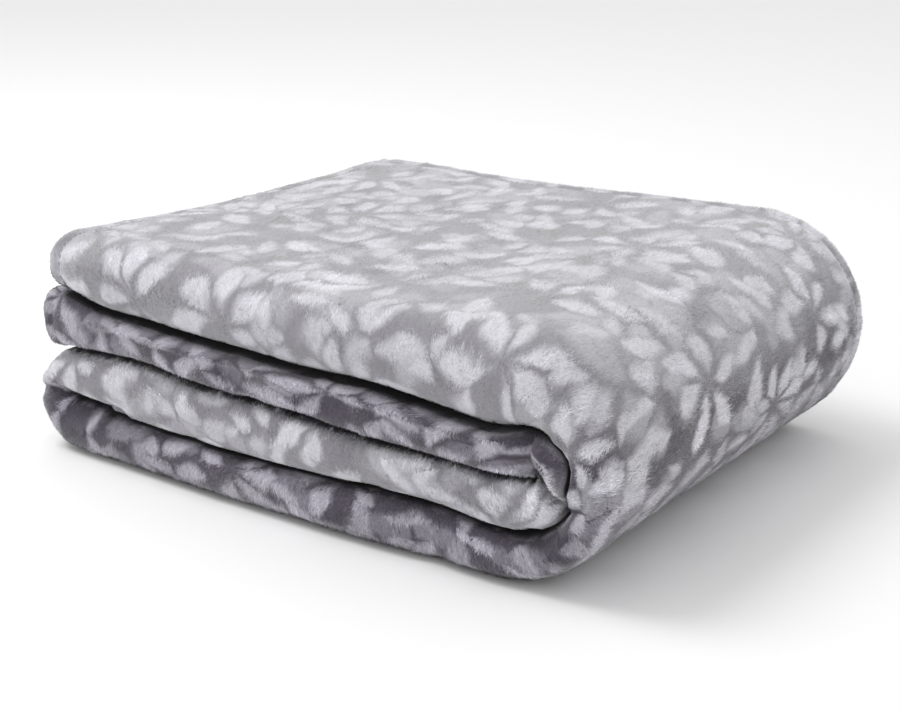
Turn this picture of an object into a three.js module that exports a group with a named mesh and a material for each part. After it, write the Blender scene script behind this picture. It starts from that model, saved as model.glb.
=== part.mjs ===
// A mink blanket, 1.5 m by 2 m, folded in four across and in four along: one soft
// sheet that lies sixteen layers deep.
// Millimetres, +Z up. The sheet is folded across first, into a strip of four nested
// layers whose folds face the front (-Y) and whose cut edges lie at the back (+Y).
// The strip is then folded along X: the top course runs right, turns down round the
// big fold (+X), runs back left on the floor, turns up into the third course, runs
// right, turns up again inside the big fold and ends as the second course.
// The origin is on the floor, under the middle of the stack; the sizes below count X
// and Y from the middle of the folds, before the whole stack is centred on it.

import * as THREE from 'three';

// Stack
const STACK_DEPTH = 386;
const FRONT = -STACK_DEPTH / 2;
const BACK = STACK_DEPTH / 2;
const RIGHT = 240;
const LAYERS_IN_STRIP = 4;

// Height that one layer takes in each course, less where the pile is pressed
const LAYER = { top: 13.5, second: 9.3, third: 10.2, bottom: 10.6 };
const LAYER_IN_BIG_FOLD = 8.6;
const LAYER_IN_INNER_FOLD = 8.6;
const LAYER_IN_LEFT_FOLD = 10;

// The cloth is slack in the upper half of the big fold and again at its very foot
const BIG_FOLD_SLACK = { aboveUntil: 0.5, belowFrom: 0.8 };

// Cloth
const GAP_BETWEEN_LAYERS = 0.9;
const THICKEST_CLOTH = 11;

// Left ends: the hem of the top and second courses, and the outside of the left fold
const TOP_HEM = -247;
const SECOND_HEM = -259;
const LEFT_FOLD = -277;

// Folds: how far the inner one lies from the big one, and how long each is for its height
const INNER_FOLD_CENTRE = 168;
const INNER_FOLD_REACH = 0.9;
const LEFT_FOLD_REACH = 0.92;

// Front folds: extra depth in the loose top course and in the pressed ones, and how
// square they are on the outer side of each and on the inner side (2 is round)
const FRONT_FOLD_DEPTH = { loose: 7, pressed: 1.5 };
const FRONT_FOLD_SQUARENESS = { loose: 2.1, pressed: 3 };

// Back edges: how far each lies inside the back of the stack
const BACK_INSET = { outerHem: 1, innerHem: 4, fold: 7 };

// Hem: thickness of the cloth, as a share, at a distance from its cut edge
const HEM = [
  { distance: 0, thickness: 0.35 },
  { distance: 4, thickness: 0.95 },
  { distance: 11, thickness: 0.7 },
  { distance: 19, thickness: 1 },
];

// Heights where the courses meet at the front, and of the top at the front, in the
// middle and at the back, from left to right
const SETTLED = [
  { x: -265, bottom: 46, third: 80, second: 129, topFront: 171, topMiddle: 164, topBack: 169 },
  { x: -235, bottom: 43, third: 82, second: 124, topFront: 174, topMiddle: 166, topBack: 171 },
  { x: -200, bottom: 39, third: 85, second: 114, topFront: 175, topMiddle: 167, topBack: 172 },
  { x: -150, bottom: 37, third: 86, second: 111, topFront: 173, topMiddle: 168, topBack: 171 },
  { x: -100, bottom: 37, third: 81, second: 109, topFront: 171, topMiddle: 168, topBack: 170 },
  { x: -50, bottom: 37, third: 80, second: 108, topFront: 169, topMiddle: 167, topBack: 170 },
  { x: 0, bottom: 39, third: 80, second: 107, topFront: 168, topMiddle: 167, topBack: 171 },
  { x: 50, bottom: 40, third: 73, second: 108, topFront: 168, topMiddle: 168, topBack: 173 },
  { x: 100, bottom: 41, third: 73, second: 103, topFront: 169, topMiddle: 169, topBack: 174 },
  { x: 150, bottom: 37, third: 71, second: 99, topFront: 171, topMiddle: 171, topBack: 175 },
  { x: 200, bottom: 38, third: 68, second: 112, topFront: 173, topMiddle: 172, topBack: 175 },
  { x: 245, bottom: 42, third: 80, second: 120, topFront: 174, topMiddle: 174, topBack: 175 },
];
const FRONT_SETTLES_FROM = 25;
const FRONT_SETTLES_TO = 113;

// The top hem lies askew: this much further right at the back. The skew starts at the
// seam under the top course, over a short height.
const TOP_HEM_SKEW = 17;
const SKEW_HEIGHT = 4;

// The front bulges in the middle of its length, and the big fold leans in at its foot
const FRONT_BULGE = { depth: 6, centre: 0, halfLength: 260 };
const BIG_FOLD_LEAN = { foot: 7, from: 120 };

// Steps of the mesh
const STEPS_ALONG = SETTLED.slice(1, -2).map((row) => row.x);
const STEP_AFTER_HEM = 4;
const STEPS_ACROSS = [-152, -118, -80, 20, 130];
const BIG_FOLD_STEPS = 9;
const SMALL_FOLD_STEPS = 6;
const FRONT_FOLD_STEPS = 8;
const INNER_FRONT_FOLD_STEPS = 3;
const BACK_FOLD_STEPS = 3;

const HEIGHT = LAYERS_IN_STRIP * (LAYER.top + LAYER.second + LAYER.third + LAYER.bottom);
const SEAM = {
  bottom: LAYERS_IN_STRIP * LAYER.bottom,
  third: LAYERS_IN_STRIP * (LAYER.bottom + LAYER.third),
  second: LAYERS_IN_STRIP * (LAYER.bottom + LAYER.third + LAYER.second),
};
const COURSE_HEIGHT = {
  bottom: SEAM.bottom / 2,
  third: (SEAM.bottom + SEAM.third) / 2,
  second: (SEAM.third + SEAM.second) / 2,
  top: (SEAM.second + HEIGHT) / 2,
};

const { lerp, smoothstep } = THREE.MathUtils;

function clothThickness(layer) {
  return Math.min(layer - GAP_BETWEEN_LAYERS, THICKEST_CLOTH);
}

// Stations along the strip: where its middle lies, which way its outer side faces,
// the height of a layer there, how loose it is and the share of the cloth's thickness
function straight(xs, height, facing, layer, looseness) {
  return xs.map((x) => ({
    x,
    z: height,
    faceX: 0,
    faceZ: facing,
    layer,
    looseness,
    share: 1,
  }));
}

function hemEnd(edge, height, facing, layer, looseness) {
  return HEM.map((row) => ({
    ...straight([edge + row.distance], height, facing, layer, looseness)[0],
    share: row.thickness,
  }));
}

function bigFold() {
  const stations = [];
  for (let step = 1; step < BIG_FOLD_STEPS; step += 1) {
    const turned = step / BIG_FOLD_STEPS;
    const angle = Math.PI * (0.5 - turned);
    const slackAbove = 1 - smoothstep(turned, 0, BIG_FOLD_SLACK.aboveUntil);
    const slackBelow = smoothstep(turned, BIG_FOLD_SLACK.belowFrom, 1);
    const layer = LAYER_IN_BIG_FOLD
      + (LAYER.top - LAYER_IN_BIG_FOLD) * slackAbove
      + (LAYER.bottom - LAYER_IN_BIG_FOLD) * slackBelow;
    const radius = HEIGHT / 2 - (LAYERS_IN_STRIP / 2) * layer;
    stations.push({
      x: RIGHT - HEIGHT / 2 + radius * Math.cos(angle),
      z: HEIGHT / 2 + radius * Math.sin(angle),
      faceX: Math.cos(angle),
      faceZ: Math.sin(angle),
      layer,
      looseness: 1 - turned,
      share: 1,
    });
  }
  return stations;
}

// A fold between two courses. It bends round centreX, to the right or the left, and
// the strip's outer side faces out of the bend (1) or into it (-1).
function smallFold(from, to, centreX, reach, bend, facing, layerInFold) {
  const stations = [];
  const middle = (COURSE_HEIGHT[from] + COURSE_HEIGHT[to]) / 2;
  const radius = (COURSE_HEIGHT[to] - COURSE_HEIGHT[from]) / 2;
  for (let step = 1; step < SMALL_FOLD_STEPS; step += 1) {
    const turned = step / SMALL_FOLD_STEPS;
    const out = bend * reach * Math.sin(Math.PI * turned);
    const up = -Math.cos(Math.PI * turned);
    const layer = lerp(lerp(LAYER[from], LAYER[to], turned), layerInFold, Math.sin(Math.PI * turned));
    stations.push({
      x: centreX + radius * out,
      z: middle + radius * up,
      faceX: facing * out,
      faceZ: facing * up,
      layer,
      looseness: 0,
      share: 1,
    });
  }
  return stations;
}

function stripStations() {
  const rightwards = STEPS_ALONG;
  const leftwards = [...STEPS_ALONG].reverse();
  const pastHem = (xs, edge) => xs.filter((x) => x > edge + HEM[HEM.length - 1].distance + STEP_AFTER_HEM);
  const foldOutside = COURSE_HEIGHT.third / 2 - COURSE_HEIGHT.bottom / 2
    + (LAYERS_IN_STRIP / 2) * LAYER_IN_LEFT_FOLD;
  const leftCentre = LEFT_FOLD + LEFT_FOLD_REACH * foldOutside;
  return [
    ...hemEnd(TOP_HEM, COURSE_HEIGHT.top, 1, LAYER.top, 1),
    ...straight(pastHem(rightwards, TOP_HEM), COURSE_HEIGHT.top, 1, LAYER.top, 1),
    ...bigFold(),
    ...straight(leftwards, COURSE_HEIGHT.bottom, -1, LAYER.bottom, 0),
    ...smallFold('bottom', 'third', leftCentre, LEFT_FOLD_REACH, -1, 1, LAYER_IN_LEFT_FOLD),
    ...straight(rightwards, COURSE_HEIGHT.third, 1, LAYER.third, 0),
    ...straight([INNER_FOLD_CENTRE], COURSE_HEIGHT.third, 1, LAYER.third, 0),
    ...smallFold('third', 'second', INNER_FOLD_CENTRE, INNER_FOLD_REACH, 1, -1, LAYER_IN_INNER_FOLD),
    ...straight([INNER_FOLD_CENTRE], COURSE_HEIGHT.second, -1, LAYER.second, 0),
    ...straight(pastHem(leftwards, SECOND_HEM), COURSE_HEIGHT.second, -1, LAYER.second, 0),
    ...hemEnd(SECOND_HEM, COURSE_HEIGHT.second, -1, LAYER.second, 0).reverse(),
  ];
}

// Points across the strip, round its four layers, at one station along it: how far
// back they lie, their level out from the strip's middle, and which way they face
function level(ys, height, facing) {
  return ys.map((y) => ({ y, out: height, faceY: 0, faceOut: facing, share: 1 }));
}

function hemSide(edge, height, facing) {
  return HEM.map((row) => ({
    ...level([edge - row.distance], height, facing)[0],
    share: row.thickness,
  }));
}

// Half of an oval that bulges to the front, from its outer side (1) to its inner (-1)
function frontFold(centreY, depth, halfHeight, from, facing, steps, squareness) {
  const points = [];
  for (let step = 0; step <= steps; step += 1) {
    const angle = (Math.PI / 2) * from * (1 - (2 * step) / steps);
    const c = Math.cos(angle);
    const s = Math.sin(angle);
    const power = 2 / (s > 0 ? squareness.outer : squareness.inner);
    const slopeY = c < 1e-9 ? 0 : -(c ** (2 - power)) / depth;
    const slopeOut = (Math.sign(s) * Math.abs(s) ** (2 - power)) / halfHeight;
    const slope = Math.hypot(slopeY, slopeOut);
    points.push({
      y: centreY - (c < 1e-9 ? 0 : depth * c ** power),
      out: halfHeight * Math.sign(s) * Math.abs(s) ** power,
      faceY: (facing * slopeY) / slope,
      faceOut: (facing * slopeOut) / slope,
      share: 1,
    });
  }
  return points;
}

function backFold(centreY, centreOut, radius) {
  const points = [];
  for (let step = 0; step <= BACK_FOLD_STEPS; step += 1) {
    const angle = Math.PI * (step / BACK_FOLD_STEPS - 0.5);
    points.push({
      y: centreY + radius * Math.cos(angle),
      out: centreOut + radius * Math.sin(angle),
      faceY: Math.cos(angle),
      faceOut: Math.sin(angle),
      share: 1,
    });
  }
  return points;
}

function crossSection(station) {
  const { layer } = station;
  const forwards = [...STEPS_ACROSS].reverse();
  const backwards = STEPS_ACROSS;
  const outerDepth = 1.5 * layer
    + lerp(FRONT_FOLD_DEPTH.pressed, FRONT_FOLD_DEPTH.loose, station.looseness);
  const foldCentre = FRONT + outerDepth + clothThickness(layer) / 2;
  const backFoldCentre = BACK - BACK_INSET.fold - (layer + clothThickness(layer)) / 2;
  const slack = outerDepth - 1.5 * layer;
  const squareness = {
    outer: lerp(FRONT_FOLD_SQUARENESS.pressed, FRONT_FOLD_SQUARENESS.loose, station.looseness),
    inner: FRONT_FOLD_SQUARENESS.pressed,
  };
  const round = { outer: 2, inner: 2 };
  return [
    ...hemSide(BACK - BACK_INSET.outerHem, 1.5 * layer, 1),
    ...level(forwards, 1.5 * layer, 1),
    ...frontFold(foldCentre, outerDepth, 1.5 * layer, 1, 1, FRONT_FOLD_STEPS, squareness),
    ...level(backwards, -1.5 * layer, -1),
    ...backFold(backFoldCentre, -layer, layer / 2),
    ...level(forwards, -0.5 * layer, 1),
    ...frontFold(foldCentre - slack, layer / 2, layer / 2, -1, -1, INNER_FRONT_FOLD_STEPS, round),
    ...level(backwards, 0.5 * layer, -1),
    ...hemSide(BACK - BACK_INSET.innerHem, 0.5 * layer, -1).reverse(),
  ];
}

// A smooth value between the rows of the table of settled heights
function settledHeight(x, column) {
  const rows = SETTLED;
  const last = rows.length - 2;
  let row = 0;
  while (row < last && x > rows[row + 1].x) {
    row += 1;
  }
  const slope = (at) => {
    const before = rows[Math.max(at - 1, 0)];
    const after = rows[Math.min(at + 1, rows.length - 1)];
    return (after[column] - before[column]) / (after.x - before.x);
  };
  const [a, b] = [rows[row], rows[row + 1]];
  const width = b.x - a.x;
  const t = THREE.MathUtils.clamp((x - a.x) / width, 0, 1);
  return (1 + 2 * t) * (1 - t) ** 2 * a[column]
    + t * (1 - t) ** 2 * width * slope(row)
    + t * t * (3 - 2 * t) * b[column]
    - t * t * (1 - t) * width * slope(row + 1);
}

// The neat stack settles: courses sink or rise between the floor and the top
function settle(point) {
  const { x, y, z } = point;
  const front = 1 - smoothstep(y, FRONT + FRONT_SETTLES_FROM, FRONT + FRONT_SETTLES_TO);
  const topFront = 1 - smoothstep(y, FRONT, 0);
  const topBack = smoothstep(y, 0, BACK);
  const middle = settledHeight(x, 'topMiddle');
  const top = middle
    + topFront * (settledHeight(x, 'topFront') - middle)
    + topBack * (settledHeight(x, 'topBack') - middle);
  const neat = [0, SEAM.bottom, SEAM.third, SEAM.second, HEIGHT];
  const settled = [
    0,
    lerp(SEAM.bottom, settledHeight(x, 'bottom'), front),
    lerp(SEAM.third, settledHeight(x, 'third'), front),
    lerp(SEAM.second, settledHeight(x, 'second'), front),
    top,
  ];
  let course = 0;
  while (course < 3 && z > neat[course + 1]) {
    course += 1;
  }
  const share = (z - neat[course]) / (neat[course + 1] - neat[course]);
  const height = lerp(settled[course], settled[course + 1], share);

  const inTop = smoothstep(z, SEAM.second - SKEW_HEIGHT / 2, SEAM.second + SKEW_HEIGHT / 2);
  const nearHem = 1 - smoothstep(x, TOP_HEM, 0);
  const skew = TOP_HEM_SKEW * inTop * nearHem * smoothstep(y, FRONT, BACK);
  const lean = BIG_FOLD_LEAN.foot * smoothstep(x, BIG_FOLD_LEAN.from, RIGHT) * (1 - z / HEIGHT) ** 2;
  const fromMiddle = Math.abs(x - FRONT_BULGE.centre) / FRONT_BULGE.halfLength;
  const bulge = FRONT_BULGE.depth * (1 - smoothstep(fromMiddle, 0, 1)) * (1 - smoothstep(y, FRONT, 0));
  point.set(x + skew - lean, y - bulge, height);
}

function foldedCloth() {
  const sections = stripStations().map((station) => ({ station, points: crossSection(station) }));
  const across = sections[0].points.length - 1;
  const along = sections.length - 1;
  const geometry = new THREE.BoxGeometry(1, 1, 1, across, along, 1);
  const flat = geometry.attributes.position;
  const place = new THREE.Vector3();
  const floor = GAP_BETWEEN_LAYERS / 2;
  for (let index = 0; index < flat.count; index += 1) {
    const column = Math.round((flat.getX(index) + 0.5) * across);
    const row = Math.round((flat.getY(index) + 0.5) * along);
    const { station, points } = sections[row];
    const point = points[column];
    const share = Math.min(station.share, point.share);
    const offset = Math.sign(flat.getZ(index)) * share * (clothThickness(station.layer) / 2);
    const out = point.out + offset * point.faceOut;
    place.set(
      station.x + out * station.faceX,
      point.y + offset * point.faceY,
      Math.max(station.z + out * station.faceZ - floor, 0),
    );
    settle(place);
    flat.setXYZ(index, place.x, place.y, place.z);
  }
  geometry.computeBoundingBox();
  const middle = geometry.boundingBox.getCenter(new THREE.Vector3());
  geometry.translate(-middle.x, -middle.y, 0);
  geometry.computeVertexNormals();
  return geometry;
}

const plush = new THREE.MeshStandardMaterial({ color: 0xb4b4b8, roughness: 0.95, metalness: 0 });

const blanket = new THREE.Mesh(foldedCloth(), plush);
blanket.name = 'blanket';

const stack = new THREE.Group();
stack.add(blanket);

export default stack;
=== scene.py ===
import math
from types import SimpleNamespace

import bmesh
import bpy
import numpy as np
from mathutils.bvhtree import BVHTree
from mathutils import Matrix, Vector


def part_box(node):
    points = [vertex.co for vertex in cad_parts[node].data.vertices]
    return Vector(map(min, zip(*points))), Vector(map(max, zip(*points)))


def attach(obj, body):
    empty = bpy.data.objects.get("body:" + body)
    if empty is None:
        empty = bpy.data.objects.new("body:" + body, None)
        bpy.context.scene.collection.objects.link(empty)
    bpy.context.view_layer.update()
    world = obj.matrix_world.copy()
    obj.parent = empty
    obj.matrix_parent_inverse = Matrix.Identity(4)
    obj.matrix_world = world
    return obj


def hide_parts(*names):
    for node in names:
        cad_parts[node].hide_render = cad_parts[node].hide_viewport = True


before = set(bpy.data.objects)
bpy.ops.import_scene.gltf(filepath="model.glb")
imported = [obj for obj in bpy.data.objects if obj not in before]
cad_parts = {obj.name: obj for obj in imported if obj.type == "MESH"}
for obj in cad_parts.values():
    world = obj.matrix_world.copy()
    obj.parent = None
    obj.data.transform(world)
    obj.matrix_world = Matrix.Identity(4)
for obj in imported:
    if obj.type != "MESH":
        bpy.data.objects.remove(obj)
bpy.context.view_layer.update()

MM = 0.001

# Stack, and the levels of the strip's outer and inner layers, in layers from its middle
STACK_DEPTH = 386
FRONT = -STACK_DEPTH / 2
BACK = STACK_DEPTH / 2
RIGHT = 240
LAYERS_IN_STRIP = 4
OUTER_LEVEL = (LAYERS_IN_STRIP - 1) / 2
INNER_LEVEL = OUTER_LEVEL - 1

# Height that one layer takes in each course, and in the big fold, where it is pressed
LAYER = {"top": 13.5, "second": 9.3, "third": 10.2, "bottom": 10.6}
LAYER_IN_BIG_FOLD = 8.6
BIG_FOLD_SLACK = {"above_until": 0.5, "below_from": 0.8}

# Cloth
GAP_BETWEEN_LAYERS = 0.9
THICKEST_CLOTH = 11

# Left ends: the hem of the top and second courses, and the outside of the left fold
TOP_HEM = -247
SECOND_HEM = -259
LEFT_END = -277

# The two small folds: the courses they join, the way they bend, how far they reach for
# their height, how full they are, and their layer's height
INNER_FOLD_CENTRE = 168
INNER_FOLD = {
    "from": "third", "to": "second", "bend": 1, "reach": 1.0,
    "fullness": 0.8, "layer": 8.6, "steps": 26,
}
LEFT_FOLD = {
    "from": "bottom", "to": "third", "bend": -1, "reach": 0.92,
    "fullness": 1.0, "layer": 10, "steps": 16,
}

# The rolls at the front, from pressed to loose, and the folds at the back
ROLL_SLACK = (1.5, 7)
ROLL_SQUARENESS = (2.45, 2.1)
INSIDE_SQUARENESS = 3
BACK_INSET = {"outer_hem": 1, "inner_hem": 4, "fold": 7}

# Hem: distance from the cut edge, and the share of the cloth's thickness there
HEM = (
    (0, 0.35), (1.5, 0.7), (4, 0.95), (7.5, 0.92), (9.8, 0.74),
    (11, 0.68), (12.2, 0.74), (15, 0.93), (19, 1),
)
HEM_AT, HEM_SHARE = np.array(HEM).T
HEM_WIDTH = 19
STITCH_LINE = 11
CLEAR_OF_HEM = 4

# Heights where the courses meet at the front, and of the top at the front, in the
# middle and at the back, from left to right
SETTLED_COLUMNS = ("x", "bottom", "third", "second", "top_front", "top_middle", "top_back")
SETTLED = (
    (-265, 46, 80, 129, 171, 164, 169),
    (-235, 43, 82, 126, 174, 166, 171),
    (-200, 39, 85, 118, 175, 167, 172),
    (-150, 37, 86, 115, 173, 168, 171),
    (-100, 37, 81, 113, 171, 168, 170),
    (-50, 37, 80, 112, 169, 167, 170),
    (0, 39, 80, 110.5, 168, 167, 171),
    (50, 40, 75, 110.5, 168, 168, 173),
    (100, 41, 74, 105, 169, 169, 174),
    (150, 37, 71, 101, 171, 171, 175),
    (200, 38, 68, 112, 173, 172, 175),
    (245, 42, 80, 120, 174, 174, 175),
)
FRONT_SETTLES = (FRONT + 25, FRONT + 113)
TOP_HEM_SKEW = 17
SKEW_HEIGHT = 4
FRONT_BULGE = {"depth": 6, "half_length": 260}
BIG_FOLD_LEAN = {"foot": 7, "from": 120}
# How far the seam between the second and third course is pressed in at the front
SEAM_PRESS = {"depth": 8.5, "width": 2.7, "left": (-262, -225), "right": (150, 185)}

# Steps of the mesh
STEPS_ALONG = np.arange(-222, 158, 8.0)
OUTER_STEPS_ACROSS = np.arange(-150, 171, 7.5)
INNER_STEPS_ACROSS = np.array((-150, -118, -80, 20, 110, 160))
BIG_FOLD_STEPS = 26
FRONT_FOLD_STEPS = 26
INNER_FRONT_FOLD_STEPS = 6
BACK_FOLD_STEPS = 6

HEIGHT = LAYERS_IN_STRIP * sum(LAYER.values())
SEAM_BOTTOM = LAYERS_IN_STRIP * LAYER["bottom"]
SEAM_THIRD = SEAM_BOTTOM + LAYERS_IN_STRIP * LAYER["third"]
SEAM_SECOND = SEAM_THIRD + LAYERS_IN_STRIP * LAYER["second"]
COURSE_HEIGHT = {
    "bottom": SEAM_BOTTOM / 2,
    "third": (SEAM_BOTTOM + SEAM_THIRD) / 2,
    "second": (SEAM_THIRD + SEAM_SECOND) / 2,
    "top": (SEAM_SECOND + HEIGHT) / 2,
}

# The nap's shade on the side that shows, painted into the colour: from 0 against the
# nap, painted darker, to 1 with it, painted lighter; and the share of a fold's turn over
# which it changes
NAP = {"top": 1.0, "bottom": 0.0, "third": 0.88, "second": 0.0}
NAP_TURNS = {"big_fold": (0.18, 0.73), "small_fold": (0.45, 1)}

# Shaping at the front, with places (x, z) from the frame's origin. A pull moves
# what lies round its place: place, reach and move. A crease presses the cloth in along a
# path, or out where its depth is negative: depth, width and path.
FRONT_PULLS = (
    ((222, 58), 16, (5, 3)),
    ((193, 78), 16, (14, 8)),
    ((216, 90), 16, (7, 1)),
    ((-262, 78), 18, (9, -5)),
)
FRONT_CREASES = (
    (8, 2.8, ((195, 103), (198, 94), (198, 88.5), (203, 82))),
    (11, 3, ((203, 82), (208.6, 77), (212, 72.5), (216.5, 68.5), (223, 64))),
    (-6, 6, ((207, 99), (213, 91), (219, 84), (225, 76))),
    (-8, 4.4, (
        (213, 103), (218.5, 99.5), (223.5, 95.5), (227, 90), (227.8, 83), (228.8, 75), (231, 69),
    )),
    (8, 4.5, ((197, 39), (206, 36), (215, 41))),
    (-7, 4, (
        (-190, 114), (-100, 110), (-50, 109), (0, 108), (50, 108), (100, 102.5), (150, 99), (180, 100),
    )),
    (8, 4.5, ((-250, 45), (-240, 46.5), (-229, 47.5), (-215, 45), (-194, 43), (-165, 43.5))),
    (5, 8, ((-222, 36), (-192, 36))),
    (-4, 5, ((-192, 25), (-185, 33), (-175, 41))),
    (3, 9, ((-110, 62), (-92, 44))),
    (3, 10, ((-40, 102), (-28, 82))),
    (3, 9, ((60, 66), (74, 44))),
    (3, 10, ((110, 30), (128, 8))),
)

# Soft hollows and ridges of the top, with places (x, y)
TOP_CREASES = (
    (3.2, 15, ((163, -196), (178, -150), (196, -92), (206, -48))),
    (2.4, 13, ((206, -126), (232, -108))),
    (-1.6, 14, ((186, -122), (214, -158))),
    (2.2, 26, ((-190, -150), (-120, -60), (-60, 70))),
    (1.8, 24, ((20, -160), (60, -40), (50, 120))),
)
# Where the shaping fades: behind the front, below the top, left of the big fold, and at
# the top's edges. A pull's place counts as a path as short as this
FRONT_SHAPED = (-172, -112)
TOP_SHAPED = (95, 168)
SIDE_SHAPED = (190, 245)
TOP_EDGE = 40
PULL_PATH = (0, 0.1)
UNEVENNESS = {"top": 1.4, "front": 1.7, "side": 1.5}

# Waves of smooth noise in the cloth and the pile: the size of their features and the seed
WAVES = {
    "top": (62, 21), "front": (34, 22), "side": (48, 23), "turn": (32, 1), "fine_turn": (8, 2),
    "lean": (16, 3), "length": (8, 4), "clump": (16, 5), "streak": (1.5, 6), "lock": (1.5, 8),
    "lip": (5, 9), "ragged": (5, 12), "soft_x": (24, 31), "soft_y": (24, 32), "soft_z": (24, 33),
}
NOISE = {"table": 4096, "seed_step": 7919, "steps": (73856093, 19349663, 83492791)}

# Which faces show, and how open they lie, by rays that start a little off the cloth. The
# less open a face lies, the darker the shade painted into its pile's colour
EXPOSED = {"lift": 0.2, "gap": 3.5}
UNDERNEATH = {"below": 2, "facing": -0.5}
OPEN_RAYS = {"count": 14, "lift": 0.4, "reach": 26, "turn": 2.4}
NO_FACE_FACES = (0.31, 0.22, 0.92)
# Painted crease shade: the share of rays blocked at which it begins and is whole, its value deep in a
# crease, and its value where no face shows
BLOCKED = (0.25, 0.74)
CREASE_SHADE = 0.04
HIDDEN_SHADE = 0.05

# Pile: tufts as thin leaning blades, in joined pieces. A blade has two corners at its
# root and one at its tip
TUFTS_IN_PIECE = 190_000
PILE_PIECES = 4
TUFTS = TUFTS_IN_PIECE * PILE_PIECES
TUFT = {
    "length": 3.4, "length_share": (0.7, 1.25), "length_by_clump": 0.3, "in_crease": 0.55,
    "width": 0.8, "width_share": (0.6, 1.2), "root_depth": 0.3,
    "lean": 77, "lean_varies": 4, "most_lean": 86, "turn_varies": 18, "spin_varies": 12,
}
CLUMP_TURN = 42
CLUMP_STRETCH = (0.6, 1)
STREAK_STRETCH = (0.1875, 1)
# Beside a crease the tufts stand up, in small locks, and cross it here and there; the
# edge of the painted crease shade is ragged
LIPS = {"crease": (0.03, 0.35), "rise": 18, "length": 1.05, "ragged": 1.5}
COLOUR_SPREAD = {"lock": 3.4, "along": 1.3, "across": 0.7}
# Brightness of each tuft: painted shade at its root and a lighter tip, on the two corners at its root
# and the one at its tip; and tone that differs at random, in clumps and in streaks, more against the
# nap
TUFT_SHADE = {
    "corners": (0.74, 0.74, 1.08), "least": 0.2,
    "varies": 0.12, "clump": 0.09, "streak": 0.19, "against_nap": 2.1,
}
# The sheet beneath the pile is painted darker, as shade between the tufts
SHEET_SHADE = 0.8
SOFT_NORMAL = {"lying": 0.22, "clump": 0.42, "tuft": 0.14}
FLOOR_CLEARANCE = 0.15
PILE_SEED = 11

# Copies of the plush that differ in sheen: open pile, pile that lies against the nap with
# less sheen as painted shade, and pile deep in a crease with little, as painted shade
OPEN, SHADED_AGAINST_NAP, SHADED_IN_CREASE = range(3)
SHEEN = {"open": 0.8, "against_nap": 0.42, "crease_shaded": 0.08}
AGAINST_BELOW = {"tone": 0.5, "varies": 0.2}
SHADED_IN_CREASE_BELOW = {"open": 0.55, "varies": 0.16}

# Stitches that hold the hem
STITCH = {"length": 3.4, "thickness": 0.7, "spacing": 5.2, "height": 0.25}
THREAD = {"colour": (0.2, 0.2, 0.21, 1), "roughness": 0.7}

# Print, in metres: rosettes of petals, and loose petals between them, sown three times,
# the last one faint
PETAL_SOFTNESS = 0.0085
PETAL_OVERLAP = 0.1
PETAL_FULLNESS = 1.2
PETAL_POINTS = 0.95
ROSETTE = {
    "spacing": 0.118, "randomness": 0.8, "fewest": 6.0, "more": 2.99, "middle": 0.005,
    "gap": 0.16, "radius": 0.031, "length_varies": 0.020, "width": 0.0104,
    "width_varies": 0.0036, "turn_varies": 0.34, "missing": 0.2, "at_border": 1.04,
    "strength": 0.8, "strength_varies": 0.25,
}
LOOSE = {
    "randomness": 0.9, "from": 0.033, "fade": 0.006, "border": 0.72, "strength": 0.7,
    "strength_varies": 0.3,
}
LOOSE_COLUMNS = (
    "spacing", "seed", "length", "length_varies", "width", "width_varies", "turn_varies",
    "share", "strength",
)
LOOSE_KINDS = (
    (0.036, 0.0, 0.042, 0.022, 0.0106, 0.0040, 2.2, 1.0, 1.0),
    (0.031, 5.3, 0.026, 0.018, 0.0094, 0.0030, 3.0, 0.7, 1.0),
    (0.041, 9.7, 0.048, 0.022, 0.0135, 0.0050, 3.0, 0.9, 0.42),
)
# Numbers that only make one chance unlike another, or one sowing of loose petals
SCRAMBLE = {"turn": 40.0, "petal": 3.0, "rosette": 91.7, "width": 7.3, "seed": 0.7}
# How the print wanders and frays, and its mottle and grain: features for each metre
WANDER = {"scale": 22.0, "detail": 1.0, "size": 0.026}
FRAY = {"scale": 200.0, "detail": 2.0, "size": 0.005, "stretch": (0.5, 1.0, 1.0)}
MOTTLE = {"scale": 90.0, "detail": 3.0, "least": 0.89, "varies": 0.22}
GRAIN = {
    "scale": 700.0, "detail": 2.0, "stretch": (1.0, 0.3, 1.0), "least": 0.85, "varies": 0.3,
    "bump": 0.4, "bump_depth": 0.001,
}

# Colours of the plush with its nap, painted lighter, and against it, painted darker, and
# the nap's painted shades between which they change
GROUND_WITH_NAP = (0.303, 0.294, 0.326, 1)
GROUND_AGAINST_NAP = (0.085, 0.0735, 0.099, 1)
PETAL_WITH_NAP = (0.75, 0.735, 0.80, 1)
PETAL_AGAINST_NAP = (0.515, 0.492, 0.566, 1)
GROUND_NAP = (0.45, 0.97)
PETAL_NAP = (0.0, 0.3)
PLUSH = {"roughness": 0.92, "specular": 0.2, "sheen_roughness": 0.5}

# The flat cloth's share of the map for the bake, for each metre, and the room for edges
BAKE_SCALE = 0.3
BAKE_EDGE = 0.004

# Studio
FLOOR = {"half": 12, "colour": (0.93, 0.93, 0.93, 1), "roughness": 0.9}
STUDIO_STRENGTH = 0.85
KEY_LIGHT = {"place": (-1.15, -0.5, 2.15), "aim": (0, 0, 0.08), "size": 1.2, "power": 26}

# Camera, at the photograph's angle
CAMERA_PLACE = (0.70902, -0.98717, 0.46530)
CAMERA_TURN = 35.515
CAMERA_DOWN = 18.197
CAMERA_LENS = 66.32
CAMERA_SENSOR = 36
CAMERA_NEAR = 0.01


def smoothstep(value, start, end):
    t = np.clip((value - start) / (end - start), 0, 1)
    return t * t * (3 - 2 * t)


def lerp(start, end, share):
    return start + (end - start) * share


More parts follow.
